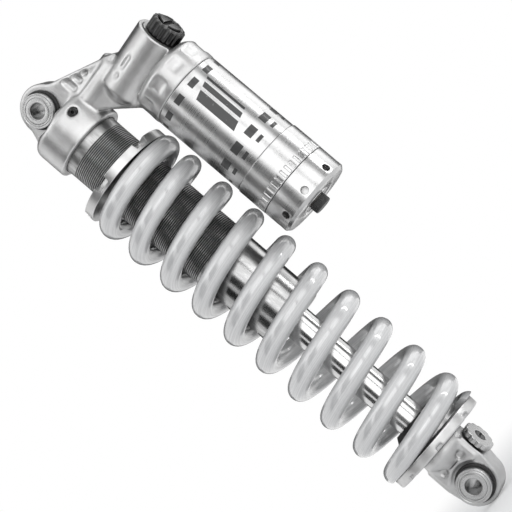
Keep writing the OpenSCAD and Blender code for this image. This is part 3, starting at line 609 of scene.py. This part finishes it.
def threadedBody():
    # a tube whose outer radius falls by a rounded V once a pitch, and the V climbs one pitch for each turn
    low, high = (b.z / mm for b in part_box("damper_body"))
    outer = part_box("damper_body")[1].x / mm
    plain, threadEnd, top = outer - bodyLook["plainStep"], bodyLook["threadEnd"], bodyLook["threadTop"]
    rows = np.arange(threadEnd, top, bodyLook["pitch"] / bodyLook["samples"])
    edge = bodyLook["edge"]
    outline = np.concatenate([
        [(bodyLook["bore"], low), (plain - edge, low), (plain, low + edge)],
        np.stack([np.full(12, plain), np.linspace(low + 2, threadEnd - 0.5, 12)], -1),
        np.stack([np.full(len(rows), outer), rows], -1),
        [(outer, top + 0.4), (outer, high), (bodyLook["bore"], high)]])

    def cutThread(radius, height, turn):
        phase = (height / bodyLook["pitch"] - turn / (2 * np.pi)) % 1
        valley = 0.5 - 0.5 * np.cos(2 * np.pi * phase)
        inThread = smoothStep(height, threadEnd, threadEnd + bodyLook["runIn"])
        inThread = inThread * (1 - smoothStep(height, top - bodyLook["runOut"], top))
        cutThread.root = valley * inThread * (radius > bodyLook["bore"] + 1)  # the bore stays plain
        cutThread.plain = 1.0 * (height < threadEnd)
        return radius - bodyLook["depth"] * cutThread.root, height

    sheets = turned([outline], "z", columns=bodyLook["columns"], shape=cutThread)
    return gridMesh("threadedBody", sheets, extra={"root": cutThread.root, "plain": cutThread.plain})


addPiece("threadedBody", threadedBody(), "damper_body")
print("threaded body: done")

collarLook = {"bore": 16.56, "spigot": 17.8, "spigotLength": 3.5, "notches": 6, "notchWidth": 7.0,
              "notchDepth": 5.0, "floor": 1.4, "edge": 0.35, "wall": 0.2}


def preloadCollar():
    # a flanged ring; inside each notch's width the rim's upper part drops to the notch floor
    low, high = (b.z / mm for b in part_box("preload_collar"))
    outer, bore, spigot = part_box("preload_collar")[1].x / mm, collarLook["bore"], collarLook["spigot"]
    face, edge = low + collarLook["spigotLength"], collarLook["edge"]
    floor, reach = face + collarLook["floor"], outer - collarLook["notchDepth"]
    outline = dense(softCorners([(bore, low, 0.3), (spigot, low, edge), (spigot, face, 0.15),
                                 (outer, face, edge), (outer, high, edge), (bore, high, 0.5)]), 0.45)
    pitch = 2 * np.pi / collarLook["notches"]
    halfAngle = collarLook["notchWidth"] / 2 / (outer - 2)
    wall = collarLook["wall"] / outer
    centres = (np.arange(collarLook["notches"]) + 0.5) * pitch
    offsets = np.array([-1.0, 1.0])[:, None] * (halfAngle + np.linspace(-wall, wall, 5))[None, :]
    walls = (centres[:, None] + offsets.reshape(1, -1)).ravel()
    angles = np.sort(np.concatenate([np.linspace(0, 2 * np.pi, 217), walls]))

    def cutNotches(radius, height, turn):
        away = np.abs((turn % pitch) - pitch / 2)
        inside = 1 - smoothStep(away, halfAngle - wall, halfAngle + wall)
        drop = inside * smoothStep(radius, reach - 0.2, reach + 0.2) * (height > floor)
        return radius, height + drop * (floor - height)

    return gridMesh("preloadCollar", turned([outline], "z", shape=cutNotches, angles=angles))


addPiece("preloadCollar", preloadCollar(), "preload_collar")
print("preload collar: %d notches" % collarLook["notches"])

coilLook = {"wire": 10.06, "innerR": 18.39, "pitch": 19.65, "endPitch": 3.4, "start": 86.0, "grindTop": 3.0,
            "grindLow": -2.4, "tipRise": 0.1, "perTurn": 56, "sides": 40, "travel": 70.0}


def coilSpring():
    # a round wire carried down a helix; the pitch grows evenly over the first turn and falls over the last,
    # and the ends are ground flat where the wire would pass the seats, so the lower end runs out thin
    low, high = (b.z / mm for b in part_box("coil_spring"))
    wireR = coilLook["wire"] / 2
    coilR = coilLook["innerR"] + wireR
    endTurn = (coilLook["endPitch"] + coilLook["pitch"]) / 2
    turns = 2 + (high - low - coilLook["grindTop"] - coilLook["grindLow"] - 2 * endTurn) / coilLook["pitch"]
    t = np.linspace(0, turns, int(turns * coilLook["perTurn"]))

    def ramp(s):
        return coilLook["endPitch"] * s + (coilLook["pitch"] - coilLook["endPitch"]) * s * s / 2

    full = 2 * endTurn + coilLook["pitch"] * (turns - 2)
    drop = np.where(t < 1, ramp(np.minimum(t, 1)), endTurn + coilLook["pitch"] * (t - 1))
    drop = np.where(t > turns - 1, full - ramp(np.clip(turns - t, 0, 1)), drop)
    swing = np.linspace(np.pi, 3 * np.pi, coilLook["sides"] + 1)
    turn = np.radians(coilLook["start"]) - 2 * np.pi * t
    fade = np.concatenate([[0.0], np.ones(len(t)), [0.0]])  # the wire's two ends close to a point
    turn, drop, t = (np.concatenate([a[:1], a, a[-1:]])[:, None] for a in (turn, drop, t))
    centre = high - coilLook["grindTop"] - drop
    # where the section dips below the lower plane, that part of its circle is laid along the chord instead
    chord = np.arcsin(np.clip((low - centre) / wireR, -1, 1))
    lap = np.where(swing > 2.5 * np.pi, swing - 2 * np.pi, swing)[None, :]
    along = (lap - np.pi + chord) / (np.pi + 2 * chord + 1e-9)
    ground = np.sin(lap) < np.sin(chord)
    across = np.where(ground, np.cos(chord) * (2 * along - 1), np.cos(lap)) * fade[:, None]
    rise = np.where(ground, np.sin(chord), np.sin(lap)) * fade[:, None]
    rise[-1] = np.sin(np.maximum(chord[-1], 0)) + coilLook["tipRise"]  # keeps the thin tip off the plane
    reach, height = coilR + wireR * across, np.clip(centre + wireR * rise, low, high)
    sheet = np.stack([reach * np.cos(turn), reach * np.sin(turn), height], -1) * mm
    uv = np.stack(np.broadcast_arrays(t, (swing / (2 * np.pi))[None, :]), -1)
    return gridMesh("coilSpring", [sheet], uv=uv), high, low


springMesh, springTop, springLow = coilSpring()
spring = addPiece("coilSpring", springMesh, "coil_spring")
springTop * mm
1 - coilLook["travel"] / (springTop - springLow)
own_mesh(spring)
print("spring: %d faces" % len(springMesh.polygons))

sleeveLook = {"bore": 17.84, "hub": 6.1, "floor": 4.6, "marks": 40, "markShare": 0.42, "markDepth": 0.35,
              "markSoft": 0.12, "bandLow": 0.45, "bandTop": 4.55, "bandSoft": 0.15, "edge": 0.35,
              "columns": 480}


def endSleeve():
    # a cup whose rim has a band of shallow index marks, each a smooth step in radius
    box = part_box("end_sleeve")
    low, high = box[0].z / mm, box[1].z / mm
    outer, bore, hub = box[1].y / mm, sleeveLook["bore"], sleeveLook["hub"]
    floor, edge = low + sleeveLook["floor"], sleeveLook["edge"]
    outline = dense(softCorners([(hub, low, 0.2), (outer, low, edge), (outer, high, edge),
                                 (bore, high, 0.2), (bore, floor, 0.1), (hub, floor, 0.1)]), 0.4)
    bandLow, bandTop = low + sleeveLook["bandLow"], low + sleeveLook["bandTop"]
    soft, markFrom = sleeveLook["bandSoft"], 1 - sleeveLook["markShare"]

    def cutMarks(radius, height, turn):
        phase = np.abs((turn * sleeveLook["marks"] / (2 * np.pi)) % 1 - 0.5) * 2
        mark = smoothStep(phase, markFrom - sleeveLook["markSoft"], markFrom + sleeveLook["markSoft"])
        band = smoothStep(height, bandLow - soft, bandLow + soft)
        band = band * (1 - smoothStep(height, bandTop - soft, bandTop + soft))
        return radius - sleeveLook["markDepth"] * mark * band * (radius > outer - 0.5), height

    return gridMesh("endSleeve", turned([outline], "z", atReservoir, sleeveLook["columns"], cutMarks))


addPiece("endSleeve", endSleeve(), "end_sleeve")

tubeLook = {"bore": 16.3, "neck": 17.8, "shoulder": -50.7, "edge": 0.4, "front": -65.0, "columns": 192}
# a ring of dashes has its two depths, pitch in degrees, inked share and shift; a stripe, its sides and depths
tubeInk = {"tone": 0.05, "slant": 0.1, "dashSoft": (0.06, 0.01), "stripeSoft": (0.2, 0.08),
           "dashes": ((53.4, 56.6, 30.0, 0.5, 6.0), (87.2, 91.4, 30.0, 0.55, 6.0),
                      (93.6, 95.4, 30.0, 0.4, 6.0)),
           "stripes": ((-6.0, 8.0, 60.5, 83.0), (13.0, 21.0, 60.5, 83.0), (26.0, 30.0, 60.5, 83.0))}


def reservoirTube():
    # a plain tube, thicker between its two screwed necks; its map is degrees from the front and mm of depth
    low, high = (b.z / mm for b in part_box("reservoir_tube"))
    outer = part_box("reservoir_tube")[1].y / mm
    top, bottom = tubeLook["shoulder"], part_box("end_sleeve")[1].z / mm
    bore, neck, edge = tubeLook["bore"], tubeLook["neck"], tubeLook["edge"]
    outline = softCorners([(bore, low, 0.2), (neck, low, 0.2), (neck, bottom, 0.1), (outer, bottom, edge),
                           (outer, top, edge), (neck, top, 0.1), (neck, high, 0.2), (bore, high, 0.2)])
    away = np.linspace(-180, 180, tubeLook["columns"] + 1)
    sheets = turned([outline], "z", atReservoir, angles=np.radians(away + tubeLook["front"]))
    uv = np.stack(np.broadcast_arrays(away[None, :], -sheets[0][..., 2] / mm), -1)
    return gridMesh("reservoirTube", sheets, uv=uv)


printedTube = metal("printedTube", {**tubeMetal, "ink": tubeInk})
addPiece("reservoirTube", reservoirTube(), "reservoir_tube", finish=printedTube)
print("reservoir: done")

dialLook = {"bore": 5.7, "lip": 1.0, "teeth": 18, "toothDepth": 0.75, "toothSharp": 1.6,
            "toothBand": (1.5, 0.4), "bevel": 1.4, "faceStep": 0.6, "columns": 288}


def highSpeedDial():
    # a ring whose rim is scalloped once for each tooth, with a face bevelled towards both rims
    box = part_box("high_speed_dial")
    low, high = box[0].x / mm, box[1].x / mm
    outer, inner, step = box[1].y / mm, dialLook["bore"], dialLook["faceStep"]
    rim, lip = outer - dialLook["bevel"], inner + dialLook["lip"]
    outline = dense(softCorners([(inner, low, 0.1), (outer, low, 0.3), (outer, high - step, 0.35),
                                 (rim, high, 0.3), (lip, high, 0.3), (inner, high - step, 0.2)]), 0.5)

    def scallop(radius, height, turn):
        wave = (0.5 + 0.5 * np.cos(turn * dialLook["teeth"])) ** dialLook["toothSharp"]
        nearRim = smoothStep(radius, *(outer - inward for inward in dialLook["toothBand"]))
        return radius - dialLook["toothDepth"] * wave * nearRim, height

    return gridMesh("highSpeedDial", turned([outline], "x", atTower, dialLook["columns"], scallop))


addPiece("highSpeedDial", highSpeedDial(), "high_speed_dial")

knobLook = {"grips": 12, "gripDepth": 0.6, "gripSharp": 2.2, "gripBand": (1.2, 0.3), "stem": 2.6, "edge": 0.5,
            "thick": 2.8, "socketR": 3.0, "socketDepth": 1.5, "pole": 0.01, "columns": 240}


def reboundKnob():
    # a grip disc on a thin stem, with a round socket in its face; the rim is scalloped once for each grip
    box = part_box("rebound_knob")
    low, face = box[0].x / mm, box[1].x / mm
    outer, back, floor = box[1].y / mm, face - knobLook["thick"], face - knobLook["socketDepth"]
    stem, socket, edge, pole = (knobLook[key] for key in ("stem", "socketR", "edge", "pole"))
    outline = dense(softCorners([(pole, low, pole), (stem, low, 0.3), (stem, back, 0.1), (outer, back, edge),
                                 (outer, face, edge), (socket, face, 0.2), (socket, floor, 0.1),
                                 (pole, floor, pole)]), 0.5)

    def scallop(radius, height, turn):
        wave = (0.5 + 0.5 * np.cos(turn * knobLook["grips"])) ** knobLook["gripSharp"]
        nearRim = smoothStep(radius, *(outer - inward for inward in knobLook["gripBand"]))
        return radius - knobLook["gripDepth"] * wave * nearRim, height

    return gridMesh("reboundKnob", turned([outline], "x", (0, 0, reboundZ), knobLook["columns"], scallop))


addPiece("reboundKnob", reboundKnob(), "rebound_knob")

capLook = {"bore": 3.96, "endThick": 1.2, "bevel": (0.4, 0.6), "ribs": 36, "ribDepth": 0.16,
           "ribFrom": (0.8, 1.2), "edge": 0.7, "pole": 0.01, "columns": 288}


def valveCap():
    # a small cup with fine ribs round its side and a rounded end
    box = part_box("valve_cap")
    low, high = box[0].z / mm, box[1].z / mm
    outer, bore, pole = box[1].y / mm, capLook["bore"], capLook["pole"]
    inside = low + capLook["endThick"]
    bevelIn, bevelUp = capLook["bevel"]
    outline = dense(softCorners([(pole, low, pole), (outer - bevelIn, low, capLook["edge"]),
                                 (outer, low + bevelUp, 0.5), (outer, high, 0.25), (bore, high, 0.2),
                                 (bore, inside, 0.1), (pole, inside, pole)]), 0.3)

    def ribs(radius, height, turn):
        wave = 0.5 + 0.5 * np.cos(turn * capLook["ribs"])
        side = smoothStep(height, *(low + up for up in capLook["ribFrom"])) * (radius > bore + 0.3)
        return radius - capLook["ribDepth"] * wave * side, height

    return gridMesh("valveCap", turned([outline], "z", atReservoir, capLook["columns"], ribs))


addPiece("valveCap", valveCap(), "valve_cap")

seatLook = {"voxel": 0.36, "rounds": 5}
forged("lower_spring_seat", "lowerSeat", seatLook)

edgeWidths = {
    "bottom_out_dial": ("bottomOutDial", 0.3),
    "low_speed_knob": ("lowSpeedKnob", 0.25),
    "rebound_knob_screw": ("knobScrew", 0.1),
    "bleed_screw": ("bleedScrew", 0.12),
    "seal_head": ("sealHead", 0.25),
}
for node, (name, width) in edgeWidths.items():
    brokenEdges(node, name, width)
print("dials, knobs and seats: done")

replaced = {n for piece in bpy.data.objects for n in piece.get("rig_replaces", [])}
for node, piece in nodes.items():
    if node not in replaced:
        piece.data.materials.clear()
        piece.data.materials.append(finishes[slotOf[node]])
print("inner nodes painted: %d" % (len(nodes) - len(replaced)))

stageLook = {"floorReach": 2.5, "clear": 0.0002, "whiteFrom": 0.02, "whiteTo": 0.26, "footWhite": 0.35,
             "tone": 0.9}


def paleFloor():
    # a flat disc: rings of points at growing distance from the object's foot;
    # the camera and mirror rays see it fade to white away from the foot
    steps = np.linspace(0, 1, 24) ** 2 * stageLook["floorReach"]
    ring, turn = np.meshgrid(steps, np.linspace(0, 2 * np.pi, 65), indexing="ij")
    level = np.full_like(ring, cadBox[0].z - stageLook["clear"])
    disc = np.stack([ring * np.cos(turn), ring * np.sin(turn), level], -1)
    floor = bpy.data.objects.new("floor", gridMesh("floor", [disc]))
    bpy.context.scene.collection.objects.link(floor)
    paint = Paint("paleFloor")
    place = paint.place()
    flat = paint.stretch(place, (1, 1, 0))
    away = paint.node("ShaderNodeVectorMath", {"operation": "LENGTH"}, {0: flat}, out="Value")
    speck = paint.noise(place, 900.0, 3.0, 0.6)
    colour = paint.blend(paint.span(speck, 0.3, 0.7), grey(stageLook["tone"] - 0.02), grey(stageLook["tone"]))
    paint.finish({"Base Color": colour, "Roughness": 0.85})
    glow = paint.node("ShaderNodeEmission", {}, {"Color": (1, 1, 1, 1), "Strength": 1.0})
    share = paint.span(away, stageLook["whiteFrom"], stageLook["whiteTo"], stageLook["footWhite"])
    seen = paint.node("ShaderNodeLightPath", out="Is Camera Ray")
    bright = paint.node("ShaderNodeLightPath", out="Is Glossy Ray")
    share = share * (seen + bright).math("MINIMUM", 1.0)
    matt = Wire(paint, paint.shader.outputs[0])
    mixed = paint.node("ShaderNodeMixShader", {}, {0: share, 1: matt, 2: glow})
    paint.feed(paint.sheet.inputs[0], mixed)
    floor.data.materials.append(paint.material)


paleFloor()

skyLook = {"shell": (0.95, 0.97, 1.0, 1.0), "strength": 0.5, "seen": (1.0, 1.0, 1.0, 1.0),
           "seenStrength": 1.0}

# camera, mirror and transmission rays see plain white; the soft light comes from a dimmer shell
world = bpy.data.worlds.new("studio")
bpy.context.scene.world = world
world.use_nodes = True
worldNodes, worldLinks = world.node_tree.nodes, world.node_tree.links
worldNodes.clear()
worldOut, path = worldNodes.new("ShaderNodeOutputWorld"), worldNodes.new("ShaderNodeLightPath")
shell, white = worldNodes.new("ShaderNodeBackground"), worldNodes.new("ShaderNodeBackground")
shell.inputs["Color"].default_value = skyLook["shell"]
shell.inputs["Strength"].default_value = skyLook["strength"]
white.inputs["Color"].default_value = skyLook["seen"]
white.inputs["Strength"].default_value = skyLook["seenStrength"]
whiteShare = path.outputs["Is Camera Ray"]
for ray in ("Is Glossy Ray", "Is Transmission Ray"):
    joined = worldNodes.new("ShaderNodeMath")
    joined.operation = "MAXIMUM"
    worldLinks.new(whiteShare, joined.inputs[0])
    worldLinks.new(path.outputs[ray], joined.inputs[1])
    whiteShare = joined.outputs[0]
worldMix = worldNodes.new("ShaderNodeMixShader")
worldLinks.new(whiteShare, worldMix.inputs[0])
worldLinks.new(shell.outputs[0], worldMix.inputs[1])
worldLinks.new(white.outputs[0], worldMix.inputs[2])
worldLinks.new(worldMix.outputs[0], worldOut.inputs[0])

shotLook = {"azimuth": 23.366, "elevation": -7.337, "roll": -49.42, "distance": 0.702, "focal": 1506.935,
            "shift": (-5.456, -4.239), "aim": (0.0117, 0.0, -0.1199), "frame": 512, "sensor": 36.0}


def direction(azimuth, elevation):
    # degrees round the upright axis from the front, and degrees above the level
    a, e = math.radians(azimuth), math.radians(elevation)
    return np.array([math.sin(a) * math.cos(e), -math.cos(a) * math.cos(e), math.sin(e)])


def setDown(name, data, across, up, back, spot):
    # a camera or lamp at a spot, with its own three axes given in the scene's
    holder = bpy.data.objects.new(name, data)
    bpy.context.scene.collection.objects.link(holder)
    pose = np.eye(4)
    pose[:3] = np.stack([across, up, back, spot], 1)
    holder.matrix_world = Matrix(pose.tolist())
    return holder


def shoot():
    # the camera looks at the aim from the given side, rolled about its own line of sight
    back = direction(shotLook["azimuth"], shotLook["elevation"])
    right = direction(shotLook["azimuth"] + 90, 0)
    up = np.cross(back, right)
    roll = math.radians(shotLook["roll"])
    across = math.cos(roll) * right + math.sin(roll) * up
    above = math.cos(roll) * up - math.sin(roll) * right
    spot = np.array(shotLook["aim"]) + back * shotLook["distance"]
    lens = bpy.data.cameras.new("camera")
    lens.sensor_width = shotLook["sensor"]
    lens.lens = shotLook["focal"] / shotLook["frame"] * shotLook["sensor"]
    lens.shift_x = -shotLook["shift"][0] / shotLook["frame"]
    lens.shift_y = shotLook["shift"][1] / shotLook["frame"]
    lens.clip_start, lens.clip_end = 0.01, 50
    bpy.context.scene.camera = setDown("camera", lens, across, above, back, spot)


shoot()

middle = np.array([0.02, 0.0, -0.13])
lamps = {
    "keySoft": {"side": (-25, 38), "away": 0.9, "size": (0.7, 0.7), "power": 1.3},
    "fillSoft": {"side": (150, 25), "away": 1.0, "size": (0.8, 0.8), "power": 1.5},
    "stripRight": {"side": (109, 6), "away": 0.6, "size": (0.05, 0.6), "power": 0.65},
    "frontBox": {"side": (28, 8), "away": 0.85, "size": (0.6, 0.6), "power": 1.3},
    "sideBox": {"side": (66, 8), "away": 0.85, "size": (0.36, 0.6), "power": 0.76},
}
cards = {
    "darkRight": {"side": (90, 0), "away": 0.55, "size": (0.16, 0.9)},
    "darkFront": {"side": (-10, 0), "away": 0.6, "size": (0.3, 0.9)},
    "darkLeft": {"side": (-52, 0), "away": 0.55, "size": (0.3, 0.9)},
    "darkGap": {"side": (50.7, 0), "away": 0.8, "size": (0.08, 0.9)},
    "darkBack": {"side": (196, 5), "away": 0.8, "size": (1.5, 1.1)},
    "darkTop": {"side": (203, 62), "away": 0.8, "size": (1.1, 0.6)},
}


def facing(side, away):
    # where a lamp or card stands, with its axes: across, upright and pointing away from the object
    back = direction(*side)
    right = direction(side[0] + 90, 0)
    return middle + back * away, right, np.cross(back, right), back


for name, look in lamps.items():
    lamp = bpy.data.lights.new(name, "AREA")
    lamp.shape = "RECTANGLE"
    lamp.size, lamp.size_y = look["size"]
    lamp.energy = look["power"]
    spot, right, up, back = facing(look["side"], look["away"])
    setDown(name, lamp, right, up, back, spot)

cardPaint = Paint("cardFelt")
felt = cardPaint.noise(cardPaint.place(), 700.0, 4.0, 0.7)
cardPaint.finish({"Base Color": cardPaint.blend(felt, grey(0.012), grey(0.03)), "Roughness": 0.95})
for name, look in cards.items():
    spot, right, up, back = facing(look["side"], look["away"])
    ends = np.array([-0.5, 0.5])
    wide, tall = np.meshgrid(ends * look["size"][0], ends * look["size"][1], indexing="ij")
    sheet = spot + wide[..., None] * right + tall[..., None] * up
    card = bpy.data.objects.new(name, gridMesh(name, [sheet]))
    bpy.context.scene.collection.objects.link(card)
    card.data.materials.append(cardPaint.material)
    card.visible_camera = card.visible_diffuse = card.visible_shadow = False
print("stage: floor, %d lamps, %d cards" % (len(lamps), len(cards)))

bpy.context.scene.view_settings.view_transform = "Standard"
